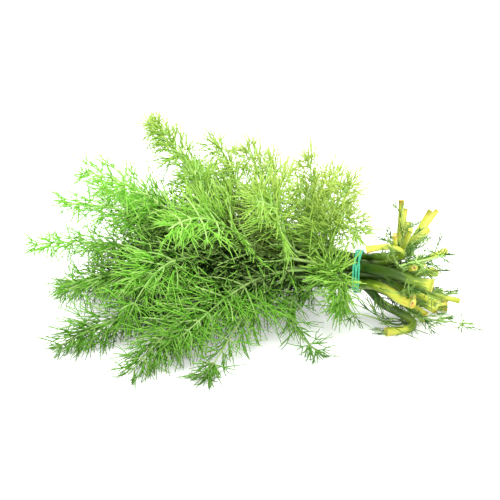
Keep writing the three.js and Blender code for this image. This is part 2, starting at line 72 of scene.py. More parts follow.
# Each frond's tip, the length of its longest side leaf (breadth), and how far its rib bows up (arch) and out
# sideways (bow) from its chord.
FRONDS = {
    "crown_left": {"tip": (-134, 6, 119), "breadth": 38, "arch": 14},
    "crown_back": {"tip": (-106, 50, 93), "breadth": 40, "arch": 16},
    "crown_middle": {"tip": (-74, 2, 107), "breadth": 38, "arch": 20},
    "crown_right": {"tip": (-36, 8, 102), "breadth": 38, "arch": 30},
    "crown_front": {"tip": (-58, -46, 92), "breadth": 42, "arch": 26},
    "over_band_high": {"tip": (-8, -2, 90), "breadth": 36, "arch": 30},
    "over_band_low": {"tip": (2, -18, 66), "breadth": 32, "arch": 30},
    "curtain": {"tip": (-6, -40, 24), "breadth": 28, "arch": 34, "bow": -6},
    "front_arch": {"tip": (-140, -66, 30), "breadth": 46, "arch": 32, "bow": 40},
    "front_star": {"tip": (-104, -74, 82), "breadth": 42, "arch": 30, "bow": 14},
    "front_fall": {"tip": (-134, -74, 14), "breadth": 36, "arch": 66},
    "front_middle": {"tip": (-96, -92, 18), "breadth": 40, "arch": 14},
    "left_high": {"tip": (-170, -30, 96), "breadth": 38, "arch": 20},
    "left_upper": {"tip": (-190, -22, 70), "breadth": 38, "arch": 20},
    "left_far": {"tip": (-210, -28, 42), "breadth": 26, "arch": 14},
    "left_low": {"tip": (-184, -48, 20), "breadth": 38, "arch": 22},
    "floor_left": {"tip": (-200, -12, 5), "breadth": 36, "arch": 12},
    "floor_front_left": {"tip": (-174, -94, 4), "breadth": 38, "arch": 18},
    "floor_front": {"tip": (-120, -112, 4), "breadth": 40, "arch": 20},
    "floor_front_middle": {"tip": (-76, -106, 4), "breadth": 26, "arch": 14},
    "floor_front_right": {"tip": (-14, -64, 4), "breadth": 18, "arch": 8, "bow": 34},
    "back_right": {"tip": (-24, 60, 70), "breadth": 38, "arch": 24},
    "back_middle": {"tip": (-74, 94, 62), "breadth": 42, "arch": 22},
    "back_left": {"tip": (-132, 88, 64), "breadth": 42, "arch": 22},
    "left_back": {"tip": (-186, 40, 58), "breadth": 40, "arch": 22},
    "floor_back_left": {"tip": (-162, 82, 5), "breadth": 40, "arch": 14},
    "floor_back": {"tip": (-96, 106, 5), "breadth": 40, "arch": 16},
    "floor_back_right": {"tip": (-34, 76, 5), "breadth": 38, "arch": 18},
}

# Small leaves that stayed on the stems near their cut ends: the stem, where along it, and the tip.
SPRIGS = {
    "sprig_front": {"stem": "floor_front_left", "along": 34, "tip": (-2, -40, 20), "breadth": 20, "arch": 4},
    "sprig_end": {"stem": "floor_front_middle", "along": 40, "tip": (70, -28, 14), "breadth": 12, "arch": 2},
    "sprig_middle": {"stem": "front_star", "along": 34, "tip": (54, -42, 66), "breadth": 12, "arch": 0},
}
SPRIG_THICKNESS = 0.8  # of a frond's
SPRIG_ROOT = 0.9  # how far it is out of its stem's middle, as a share of the stem's radius

# ---------- How the leaves grow ----------
RIB_ROOT = 1.15  # radii of a frond's rib
RIB_TIP = 0.45
RIB_STEPS = 200  # its nodes stand on some of these
RIB_BAYS = 40  # of its spline
FIRST_NODE, NODES_REACH = 0.16, 0.76  # the first node, and from there to the last, as shares of a rib
NODES_CLOSE_UP = 0.9  # below 1 the nodes draw closer towards the tip
PAST_NODE = 0.38  # from a node to the leaves past it, as a share of a rib divided by its number of nodes
BARE_END = 6  # the last steps of a rib, which those leaves keep off
INTO_FOLIAGE = 20  # how far past a frond's start the point is that its upper side faces away from
FACE_OUT, FACE_UP = 0.55, 0.85  # how far a frond's upper side faces away from the bundle, and up
RISE, RISE_VARIES = 0.3, 0.35  # of a pair out of the frond's plane
TIP_LEAFLET = 9  # length of the leaflet that a rib ends in
LEAF_LENGTH = 0.86  # of a side leaf, as a share of what its frond's breadth allows
SIDE_LEAF_TIP = 0.34  # radius

# At each node of a rib the side leaves stand in one pair, and more radiate below them and between the nodes.
# For each there are the angle that they leave at and bend to in degrees, how far they sag as a share of their
# length, the radius of their roots, their least and greatest length as a share of the pair's, and the ways
# that they point round the rib in degrees, where the foliage is open and where it is crowded.
PAIR = {"leave": 62, "bend": 40, "sag": 0.08, "root": 0.7}
BELOW = {
    "leave": 56,
    "bend": 34,
    "sag": 0.05,
    "root": 0.5,
    "share": (0.45, 0.8),
    "open": (235, 305),
    "crowded": (205, 235, 270, 305, 335),
}
BETWEEN = {
    "leave": 50,
    "bend": 26,
    "sag": 0.05,
    "root": 0.45,
    "share": (0.5, 0.8),
    "open": (0, 180),
    "crowded": (0, 180, 200, 240, 290, 330),
}

# How a twig branches, for each finer order: the spacing of its forks, the first of them as a share of its
# length, the angle that a fork leaves at and bends to in degrees, how far it sags, its length as a share of
# what is left of the twig and the length added to that, and the radii of its two ends.
ORDERS = {
    "leaflet": {
        "spacing": 13.0,
        "first": 0.26,
        "leave": 44,
        "bend": 24,
        "sag": 0.03,
        "share": 0.58,
        "added": 15.0,
        "radii": (0.44, 0.3),
    },
    "thread": {
        "spacing": 12.0,
        "first": 0.36,
        "leave": 35,
        "bend": 14,
        "sag": 0.0,
        "share": 0.64,
        "added": 11.0,
        "radii": (0.36, 0.2),
    },
}
LAST_FORK = 0.94  # as a share of a twig's length
GROWN = (0.8, 1.18)  # least and greatest length of a fork beside what its order gives
LEAST_ADDED = 0.45  # share of the added length that a very short twig's forks get
ADDED_OVER = 50  # length of twig over which that share would grow by a whole

# How much growth varies either way.
TURN_VARIES = 15  # degrees round a rib
ANGLE_VARIES = 13  # degrees at a fork
ROLL_VARIES = 20  # degrees out of a leaf's plane
ASTRAY = 0.32  # of the way that a twig ends in, beside a length of 1
LENGTH_VARIES = 0.12  # of a pair
SLIP, HAND_SLIP = 0.03, 0.02  # how far a pair of forks and each of its two slip along, as shares of the twig

# The middle of the foliage, where the leaves are closest and painted shade makes them darkest, and how far
# from it along X, Y and Z the foliage's outside is. Side leaves crowd in it up to HEART_CROWDED of the way
# out, and in the spaces of CROWDED, each given as its least and greatest X, Y and Z.
HEART = (-95, 0, 26)
HEART_REACH = (100, 72, 62)
HEART_CROWDED = 0.8
FAR = math.inf
CROWDED = {
    "beside the band": ((-52, FAR), (-FAR, FAR), (20, 62)),
    "on the surface in front": ((-155, -70), (-98, -60), (-FAR, 30)),
    "in the tall plume at the back left": ((-150, -105), (-FAR, FAR), (90, FAR)),
}

LOW = 50  # painted shade: the nearer the surface below this height, the deeper the leaves' green
LOW_DEPTH = 0.68  # of the painted shade's deep green, on the surface itself
SUNWARD = (0.45, 0.3, 1)  # painted sunlight: the higher and the nearer to the band, the lighter and yellower the threads

# ---------- How the stems and the band are made ----------
# How far from its cut a stem has ripened to yellow-green: 1 is as most have, and those that end above TOP
# have more.
RIPE = {"curtain": 1.5, "over_band_low": 1.8, "floor_front_right": 1.7}
RIPE_ON_TOP = 1.8
TOP = 55
STEM_BAYS = 5  # between two of the CAD stem's rings
FLARE = 0.35  # most that a stem widens at its cut
FLARE_RINGS = 4  # over which it does
LEAST_RIPE, RIPE_VARIES = 0.5, 0.6
LEAST_HOLLOW, HOLLOW_VARIES = 0.3, 0.5  # depth of the pith in a cut
RIDGE, GROOVE = 1.03, 0.93  # of a stem's ribs, as shares of its radius

# A cut face from its edge inwards, as shares of the stem's radius: a flat rim of skin, the step down from it,
# a flat ring of pith, and the step down to the hollow in the middle.
RIM, RIM_STEP, PITH_RING, PITH_STEP = 0.2, 0.1, 0.34, 0.05
CUT_REACH = 1.3  # radii from a cut's centre, within which its face lies
STEM_PITH, STEM_LEAF = 1, 2  # a stem's material slots, after its skin

# Stubs of leaves that were pulled off: how many on each stem, their least and greatest length, the angles
# that they leave at and bend to, and the radii of their two ends, and the same for the tines that fork off.
STUBS = 6
STUB_ROOT = 0.8  # how far it is out of its stem's middle, as a share of the stem's radius
STUB_LENGTHS = (7, 17)
STUB_LEAVE, STUB_BEND, STUB_RADII = 50, 30, (0.45, 0.25)
TINE_PAIRS = 3
TINE_LEAVE, TINE_BEND, TINE_RADII = 40, 20, (0.32, 0.16)
TINE_LENGTH = 0.6  # of a thread's there

BAND_TURNS = 4

# What sets each repeatable draw apart from the others.
FROND_KEY, SPRIG_KEY = 11, 77
LENGTH_KEY, RISE_KEY = 3, 5
FLARE_KEY, HOLLOW_KEY, RIPE_KEY = 41, 42, 43


def linear(hex_code):
    """An sRGB hex colour as linear red, green, blue and alpha."""
    parts = [int(hex_code[i : i + 2], 16) / 255 for i in (1, 3, 5)]
    return (*[c / 12.92 if c <= 0.04045 else ((c + 0.055) / 1.055) ** 2.4 for c in parts], 1.0)


def colour(name, description, hex_code):
    """A colour property with its default given as an sRGB hex value."""
    return FloatVectorProperty(
        name=name, description=description, subtype="COLOR", size=4, min=0, max=1, default=linear(hex_code)
    )


class DillSizes(bpy.types.PropertyGroup):
    """Sizes that change how full and how fine the bunch looks."""

    thread_thickness: FloatProperty(
        name="Thread thickness",
        description="Thickness of a leaf thread at its root",
        default=2 * ORDERS["thread"]["radii"][0] * MM,
        unit="LENGTH",
    )
    leaflet_spacing: FloatProperty(
        name="Leaflet spacing",
        description="Distance between the pairs of leaflets along a side leaf",
        default=ORDERS["leaflet"]["spacing"] * MM,
        unit="LENGTH",
    )
    thread_spacing: FloatProperty(
        name="Thread spacing",
        description="Distance between the pairs of threads along a leaflet",
        default=ORDERS["thread"]["spacing"] * MM,
        unit="LENGTH",
    )
    stem_ribs: IntProperty(
        name="Stem ribs", description="Raised ribs that run along a stem", default=9, min=5, max=16
    )
    strand_thickness: FloatProperty(
        name="Band strand", description="Thickness of one strand of the band", default=1.3 * MM, unit="LENGTH"
    )


class DillColours(bpy.types.PropertyGroup):
    """Colours of the bunch."""

    leaf: colour("Leaf", "A leaf thread in full light", "#7AC43A")
    # Painted shade: this deep green stands in for the shade in the heart of the bunch and near the surface.
    leaf_painted_shade: colour("Deep leaf", "The older, deeper green threads", "#082A04")
    leaf_tip: colour("Leaf tip", "The young end of a thread", "#92B45C")
    leaf_shade: colour("Shaded leaf", "Leaves among the stems", "#2F5A1C")
    # Painted sunlight: this lighter yellow green stands in for light on the threads high up and near the
    # band.
    leaf_painted_sunlight: colour("Crown leaf", "Threads high up and near the band, in the sun", "#A6BC57")
    rib: colour("Rib", "The pale ribs of the fronds", "#B8D684")
    stem_dark: colour("Stem at the band", "Skin of the stems near the band", "#34500F")
    stem_middle: colour("Middle of a stem", "Skin of the stems halfway to their cut ends", "#6C8A1E")
    stem_light: colour("Stem at the cut", "Skin of the stems near their cut ends", "#BAC246")
    pith: colour("Pith", "The pale core of a cut stem", "#C6CC7A")
    torn: colour("Torn edge", "Where a cut has dried and browned", "#C77A2A")
    band: colour("Band", "The rubber band", "#1EA47C")
    # Painted highlight: pale patches on the band's strands.
    band_painted_highlight: colour("Stretched band", "The rubber where it is stretched thin", "#5ED0A4")
    floor: colour("Floor", "The plain pale floor", "#ECECEC")
    floor_mottle: colour("Floor mottle", "Its faintly lighter patches", "#F0F0F0")


# ---------- Places ----------
def on_part(point):
    """A point of the tables, in millimetres, as a place in the part's frame, in metres."""
    return (point + UNDER_BAND) * MM


def above_surface(point, radius):
    """A point pushed up so that a twig of this radius lies on the surface and not in it. One that would have
    sunk further springs up a little more."""
    spring, deepest = 0.15, 12
    if point.z < radius:
        point = Vector((point.x, point.y, radius + spring * min(radius - point.z, deepest)))
    return point


def level_with(normal, forward):
    """The direction at right angles to forward that is nearest to normal."""
    return (normal - normal.project(forward)).normalized()


def draw(*keys):
    """The same repeatable draw, from 0 to 1, that the CAD part makes for these keys."""
    word = 0xFFFFFFFF
    shift, stir, stir_more = 0x9E3779B9, 0x85EBCA6B, 0xC2B2AE35  # common constants of a mixing hash
    drawn = SEED
    for key in keys:
        drawn = (((drawn ^ key) + shift) * stir) & word
        drawn ^= drawn >> 13
        drawn = (drawn * stir_more) & word
        drawn ^= drawn >> 16
    return drawn / (word + 1)


def sway(*keys):
    """A repeatable draw from -1 to 1."""
    return 2 * draw(*keys) - 1


def cad_rings(node):
    """Centres and radii of a CAD stem's rings, in table millimetres, from its frond end to its cut end."""
    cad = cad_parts[node]
    work = bmesh.new()
    work.from_mesh(cad.data)
    work.transform(cad.matrix_world)
    bmesh.ops.remove_doubles(work, verts=work.verts, dist=CAD_WELD * MM)
    ring = sorted(work.verts, key=lambda v: v.co.x)[:STEM_SIDES]
    seen, rings = set(ring), []
    while ring:
        centre = sum((v.co for v in ring), Vector()) / len(ring)
        radius = sum((v.co - centre).length for v in ring) / len(ring)
        rings.append((centre / MM - UNDER_BAND, radius / MM))
        onward = {e.other_vert(v) for v in ring for e in v.link_edges} - seen
        ring = sorted(onward, key=lambda v: tuple(v.co))  # so that every run sums them in the same order
        seen |= onward
    work.free()
    return rings


STEM_RINGS = {name: cad_rings(f"stem_{name}") for name in FRONDS}


# ---------- Twigs: every rib, side leaf and thread is one tapering spline ----------
class Arc:
    """A twig's middle line, which leaves its root along one direction and bends to run along another."""

    def __init__(self, root, away, onward, length, sag=0.0):
        self.root, self.length = root, length
        self.middle = root + away * length * 0.5
        self.end = self.middle + onward * length * 0.5 - UP * length * sag

    def point(self, t):
        """The place at this share of its length."""
        return self.root * (1 - t) ** 2 + self.middle * 2 * t * (1 - t) + self.end * t * t

    def heading(self, t):
        """The way that it runs there."""
        return ((self.middle - self.root) * (1 - t) + (self.end - self.middle) * t).normalized()


class Growth:
    """The twigs of one frond, gathered as the splines of one curve."""

    RIB, THREAD = 0, 1  # material slots

    def __init__(self, name, sizes, materials):
        self.name = name
        self.sizes = sizes
        self.random = random.Random(f"{name} {SEED}")
        self.curve = bpy.data.curves.new(name, "CURVE")
        self.curve.dimensions = "3D"
        self.curve.bevel_depth = MM  # so that a point's radius is in millimetres
        self.curve.bevel_resolution = 0  # four sides, enough for a thread
        self.curve.use_fill_caps = True
        for material in materials:
            self.curve.materials.append(material)

    def between(self, low, high):
        """The frond's next draw between two numbers."""
        return self.random.uniform(low, high)

    def twig(self, points, thick, thin, slot):
        """One round twig through points, from thick to thin."""
        last = len(points) - 1
        radii = [thick + (thin - thick) * i / last for i in range(last + 1)]
        places = [on_part(above_surface(p, r)) for p, r in zip(points, radii)]
        spline = self.curve.splines.new("POLY")
        spline.points.add(last)
        spline.points.foreach_set("co", [c for p in places for c in (*p, 1.0)])
        spline.points.foreach_set("radius", radii)
        spline.material_index = slot

    def arc(self, arc, thick, thin, slot, steps):
        """One round twig along an arc."""
        self.twig([arc.point(i / steps) for i in range(steps + 1)], thick, thin, slot)

    def fork(self, root, forward, out, length, leave, bend, sag=0.0):
        """The arc of a side growth on the side that out points to."""
        leave, bend = (
            math.radians(angle + self.between(-ANGLE_VARIES, ANGLE_VARIES)) for angle in (leave, bend)
        )
        away = forward * math.cos(leave) + out * math.sin(leave)
        astray = Vector([self.between(-ASTRAY, ASTRAY) for _ in range(3)])
        onward = (forward * math.cos(bend) + out * math.sin(bend) + astray).normalized()
        return Arc(root, away, onward, length, sag)

    def sides(self, arc, normal, order, count=None):
        """Places along an arc where side growth forks off, as root, forward, out, normal and length."""
        leaflet = order is ORDERS["leaflet"]
        spacing = (self.sizes.leaflet_spacing if leaflet else self.sizes.thread_spacing) / MM
        first = order["first"]
        count = count or max(1, round(arc.length * (1 - first) / spacing))
        for k in range(count):
            t = first + (LAST_FORK - first) * k / count + self.between(0, SLIP)
            forward = arc.heading(t)
            flat = level_with(normal, forward)
            left = arc.length * (1 - t)
            for hand in (1, -1):
                roll = math.radians(self.between(-ROLL_VARIES, ROLL_VARIES))
                across = flat.cross(forward) * hand
                out = (across * math.cos(roll) + flat * math.sin(roll)).normalized()
                added = order["added"] * min(1, LEAST_ADDED + arc.length / ADDED_OVER)
                length = (left * order["share"] + added) * self.between(*GROWN)
                yield arc.point(t + self.between(0, HAND_SLIP)), forward, out, flat, length

    def threads(self, arc, normal):
        """Pairs of threads along a leaflet. The leaflet's own end is one thread more."""
        order = ORDERS["thread"]
        thick, thin = self.sizes.thread_thickness / MM / 2, order["radii"][1]
        for root, forward, out, _, length in self.sides(arc, normal, order):
            thread = self.fork(root, forward, out, length, order["leave"], order["bend"], order["sag"])
            self.arc(thread, thick, thin, self.THREAD, 2)

    def side_leaf(self, arc, normal, thick):
        """A side leaf: its fine rib, pairs of leaflets along it, and threads on those and round its tip."""
        self.arc(arc, thick, SIDE_LEAF_TIP, self.RIB, 6)
        order = ORDERS["leaflet"]
        for root, forward, out, flat, length in self.sides(arc, normal, order):
            leaflet = self.fork(root, forward, out, length, order["leave"], order["bend"], order["sag"])
            self.arc(leaflet, *order["radii"], self.THREAD, 4)
            self.threads(leaflet, flat)
        start, middle, share = 0.72, 0.8, 0.3  # where the threads of the tip are along it, and their reach
        tip = Arc(arc.point(start), arc.heading(middle), arc.heading(1), arc.length * share)
        self.threads(tip, normal)

    def whorl(self, place, shape, length, crowd):
        """Side leaves that radiate from a place on a rib, given as its root, forward, across and normal."""
        root, forward, across, normal = place
        for turn in shape["crowded" if crowd else "open"]:
            turn = math.radians(turn + self.between(-TURN_VARIES, TURN_VARIES))
            out = across * math.cos(turn) + normal * math.sin(turn)
            own = length * self.between(*shape["share"])
            arc = self.fork(root, forward, out, own, shape["leave"], shape["bend"], shape["sag"])
            self.side_leaf(arc, across, shape["root"])

    def mesh(self):
        """The finished twigs as one mesh with closed ends."""
        holder = bpy.data.objects.new(self.name, self.curve)
        bpy.context.scene.collection.objects.link(holder)
        made = mesh_of(holder)
        bpy.data.curves.remove(self.curve)
        return made


def mesh_of(holder):
    """The mesh that a curve object makes, its end caps joined to it."""
    seen = holder.evaluated_get(bpy.context.evaluated_depsgraph_get())
    made = bpy.data.meshes.new_from_object(seen)
    work = bmesh.new()
    work.from_mesh(made)
    bmesh.ops.remove_doubles(work, verts=work.verts, dist=WELD * MM)
    work.to_mesh(made)
    work.free()
    return made


def piece(name, mesh, materials=()):
    """A finished piece of the bunch, with these materials added to its mesh."""
    mesh.name = name
    made = bpy.data.objects.new(name, mesh)
    for material in materials:
        mesh.materials.append(material)
    bpy.context.scene.collection.objects.link(made)
    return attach(made, "root")


# ---------- Fronds ----------
def leaf_shape(t):
    """How long the side leaves are along a frond, as a share of its breadth: soon full, then less."""
    return min(1, 0.62 + 1.9 * t) * (1 - 0.45 * t - 0.2 * t**5)


def crowded(place):
    """Whether side leaves crowd all round here."""
    from_heart = Vector([(p - h) / reach for p, h, reach in zip(place, HEART, HEART_REACH)]).length
    in_space = (all(low < p < high for p, (low, high) in zip(place, space)) for space in CROWDED.values())
    return from_heart < HEART_CROWDED or any(in_space)


def rib_route(start, heading, shape):
    """Points of a frond's rib, RIB_STEPS bays of them, bowed up and sideways from its chord."""
    straight_on, most_bowed = 0.34, 0.62  # places along its chord
    end = Vector(shape["tip"])
    chord = end - start
    sideways = chord.cross(UP).normalized()
    lifted = UP - UP.project(chord)
    lead = start + heading * chord.length * straight_on
    lift = start.lerp(end, most_bowed) + lifted * shape["arch"] + sideways * shape.get("bow", 0)
    return interpolate_bezier(start, lead, lift, end, RIB_STEPS + 1)


def grow_frond(growth, start, heading, shape, keys, thickness=1.0):
    """A rib with side leaves radiating from each of its nodes. A small leaf, thinner than a frond, has only
    the pairs."""
    small = thickness < 1
    route = rib_route(start, heading, shape)
    growth.twig(route[:: RIB_STEPS // RIB_BAYS], RIB_ROOT * thickness, RIB_TIP * thickness, growth.RIB)
    core = Vector((start.x - INTO_FOLIAGE, 0, BAND_HEIGHT))  # in the middle of the bundle
    normal = (route[-1] - core).normalized() * FACE_OUT + UP * FACE_UP
    fewest = 3 if small else 4
    count = max(fewest, round((start - route[-1]).length / NODE_SPACING))
    for k in range(count):
        share = k / (count - 1)
        step = round(RIB_STEPS * (FIRST_NODE + NODES_REACH * share**NODES_CLOSE_UP))
        forward = (route[step + 1] - route[step - 1]).normalized()
        normal = level_with(normal, forward)
        across = normal.cross(forward)
        varied = 1 + LENGTH_VARIES * sway(*keys, k, LENGTH_KEY)
        length = shape["breadth"] * leaf_shape(share) * varied * LEAF_LENGTH
        for hand in (1, -1):
            rise = RISE + RISE_VARIES * sway(*keys, k, hand + RISE_KEY)
            out = (across * hand + normal * rise).normalized()
            arc = growth.fork(route[step], forward, out, length, PAIR["leave"], PAIR["bend"], PAIR["sag"])
            growth.side_leaf(arc, normal, PAIR["root"])
        if small:
            continue
        crowd = crowded(route[step])
        growth.whorl((route[step], forward, across, normal), BELOW, length, crowd)
        past = min(step + round(RIB_STEPS * PAST_NODE / count), RIB_STEPS - BARE_END)
        growth.whorl((route[past], forward, across, normal), BETWEEN, length, crowd)
    tip, behind, far_behind = route[-1], route[-4], route[-12]
    last = Arc(far_behind, (tip - far_behind).normalized(), (tip - behind).normalized(), TIP_LEAFLET)
    growth.threads(last, normal)


# ---------- Materials ----------
def add_node(tree, kind, settings=None, links=None):
    """Adds a node, gives its sockets and properties these settings, and links these sources to its inputs.
    The setting named stops fills a colour ramp from pairs of position and colour."""
    node = tree.nodes.new(kind)
    for key, value in (settings or {}).items():
        if key == "stops":
            ramp = node.color_ramp
            while len(ramp.elements) < len(value):
                ramp.elements.new(1.0)
            for element, (position, tint) in zip(ramp.elements, value):
                element.position, element.color = position, tint
        elif isinstance(key, int) or key in node.inputs:
            node.inputs[key].default_value = value
        else:
            setattr(node, key, value)
    for key, source in (links or {}).items():
        tree.links.new(source, node.inputs[key])
    return node


def new_material(name, **shader):
    """A material whose Principled shader has these settings. Returns it with its tree and the shader."""
    material = bpy.data.materials.new(name)
    material.use_nodes = True
    tree = material.node_tree
    skin = tree.nodes["Principled BSDF"]
    for key, value in shader.items():
        skin.inputs[key].default_value = value
    return material, tree, skin


MIX_FACTOR, MIX_A, MIX_B, MIX_RESULT = 0, 6, 7, 2  # the sockets of a Mix node that mixes colours


def per_mm(millimetres):
    """A noise scale whose features are about this long."""
    return 1 / (millimetres * MM)


def painted_shade_when_low(tree, place, tint, colours):
    """Painted shade: mixes the deep green into a colour, the more of it the nearer the leaf is to the
    surface.
    """
    height = add_node(tree, "ShaderNodeSeparateXYZ", {}, {"Vector": place.outputs["Object"]})
    low = add_node(
        tree,
        "ShaderNodeMapRange",
        {"From Max": LOW * MM, "To Min": LOW_DEPTH, "To Max": 0.0},
        {"Value": height.outputs["Z"]},
    )
    deeper = add_node(
        tree,
        "ShaderNodeMix",
        {"data_type": "RGBA", MIX_B: colours.leaf_painted_shade},
        {MIX_FACTOR: low.outputs["Result"], MIX_A: tint},
    )
    return deeper.outputs[MIX_RESULT]


def fresh_leaf(colours):
    """Fresh dill leaf, a thin waxy skin full of water, with a soft gloss. Its green differs from frond to
    frond and from thread to thread and grows paler towards a thread's young tip. Painted shade deepens it in
    the heart of the bunch and near the surface, and painted sunlight makes it lighter and yellower high up
    and near the band."""
    material, tree, skin = new_material("Fresh dill leaf", **{"Roughness": 0.5, "Specular IOR Level": 0.06})
    place = add_node(tree, "ShaderNodeTexCoord")
    here = {"Vector": place.outputs["Object"]}
    by_frond = add_node(tree, "ShaderNodeTexNoise", {"Scale": per_mm(45), "Detail": 1.0}, here)
    by_thread = add_node(tree, "ShaderNodeTexNoise", {"Scale": per_mm(4), "Detail": 1.0}, here)
    core = add_node(
        tree,
        "ShaderNodeMapping",
        {"vector_type": "TEXTURE", "Location": on_part(Vector(HEART)), "Scale": Vector(HEART_REACH) * MM},
        here,
    )
    way_out = add_node(tree, "ShaderNodeVectorMath", {"operation": "LENGTH"}, {0: core.outputs["Vector"]})
    mottle = add_node(
        tree,
        "ShaderNodeMath",
        {"operation": "ADD"},
        {0: by_frond.outputs["Fac"], 1: by_thread.outputs["Fac"]},
    )
    mottled_way_out = add_node(
        tree,
        "ShaderNodeMath",
        {"operation": "ADD"},
        {0: mottle.outputs[0], 1: way_out.outputs["Value"]},
    )
    # Painted shade: the mottle is about 1, so the deep green gives way to the leaf's
    # green between 0.62 and 0.86 of the way out.
    painted_shade_fade = add_node(
        tree,
        "ShaderNodeMapRange",
        {"From Min": 1.62, "From Max": 1.86},
        {"Value": mottled_way_out.outputs[0]},
    )
    # Painted shade: the deep green stands in for the shade deep inside the bunch.
    body = add_node(
        tree,
        "ShaderNodeMix",
        {"data_type": "RGBA", MIX_A: colours.leaf_painted_shade, MIX_B: colours.leaf},
        {MIX_FACTOR: painted_shade_fade.outputs["Result"]},
    )
    along = add_node(tree, "ShaderNodeSeparateXYZ", {}, {"Vector": place.outputs["UV"]})
    young = add_node(
        tree,
        "ShaderNodeMapRange",
        {"From Min": 0.3, "From Max": 1.0, "To Max": 0.7},
        {"Value": along.outputs["X"]},
    )
    tinted = add_node(
        tree,
        "ShaderNodeMix",
        {"data_type": "RGBA", MIX_B: colours.leaf_tip},
        {MIX_FACTOR: young.outputs["Result"], MIX_A: body.outputs[MIX_RESULT]},
    )
    # Painted shade: a deeper green near the surface, under the foliage.
    deeper = painted_shade_when_low(tree, place, tinted.outputs[MIX_RESULT], colours)
    sunward = add_node(
        tree,
        "ShaderNodeVectorMath",
        {"operation": "DOT_PRODUCT", 1: SUNWARD},
        {0: place.outputs["Object"]},
    )
    sunlit = add_node(
        tree,
        "ShaderNodeMapRange",
        {"From Min": 40 * MM, "From Max": 108 * MM, "To Max": 0.9},
        {"Value": sunward.outputs["Value"]},
    )
    # Painted sunlight: threads high up and near the band turn lighter and yellower.
    painted_sun_tint = add_node(
        tree,
        "ShaderNodeMix",
        {"data_type": "RGBA", MIX_B: colours.leaf_painted_sunlight},
        {MIX_FACTOR: sunlit.outputs["Result"], MIX_A: deeper},
    )
    tree.links.new(painted_sun_tint.outputs[MIX_RESULT], skin.inputs["Base Color"])
    return material


def shaded_leaf(colours):
    """Leaf among the stems: the same thin waxy skin, in deep and dull greens, partly its own duller colour
    and partly painted shade from the stems around it.
    """
    material, tree, skin = new_material("Shaded dill leaf", **{"Roughness": 0.5, "Specular IOR Level": 0.06})
    place = add_node(tree, "ShaderNodeTexCoord")
    noise = add_node(
        tree,
        "ShaderNodeTexNoise",
        {"Scale": per_mm(8), "Detail": 1.0},
        {"Vector": place.outputs["Object"]},
    )
    spread = add_node(
        tree,
        "ShaderNodeMapRange",
        {"From Min": 0.38, "From Max": 0.68},
        {"Value": noise.outputs["Fac"]},
    )
    tone = add_node(
        tree,
        "ShaderNodeMix",
        {"data_type": "RGBA", MIX_A: colours.leaf_shade, MIX_B: colours.leaf_tip},
        {MIX_FACTOR: spread.outputs["Result"]},
    )
    tree.links.new(tone.outputs[MIX_RESULT], skin.inputs["Base Color"])
    return material


def pale_rib(colours):
    """A frond's rib: the same waxy skin over pale, juicy tissue, so it is lighter than the threads."""
    material, tree, skin = new_material("Dill rib", **{"Roughness": 0.45, "Specular IOR Level": 0.15})
    place = add_node(tree, "ShaderNodeTexCoord")
    noise = add_node(
        tree,
        "ShaderNodeTexNoise",
        {"Scale": per_mm(12), "Detail": 2.0},
        {"Vector": place.outputs["Object"]},
    )
    pale = add_node(
        tree,
        "ShaderNodeMapRange",
        {"From Min": 0.3, "From Max": 0.65, "To Min": 0.4},
        {"Value": noise.outputs["Fac"]},
    )
    tone = add_node(
        tree,
        "ShaderNodeMix",
        {"data_type": "RGBA", MIX_A: colours.leaf, MIX_B: colours.rib},
        {MIX_FACTOR: pale.outputs["Result"]},
    )
    # Painted shade: a deeper green near the surface.
    tree.links.new(
        painted_shade_when_low(tree, place, tone.outputs[MIX_RESULT], colours),
        skin.inputs["Base Color"],
    )
    return material


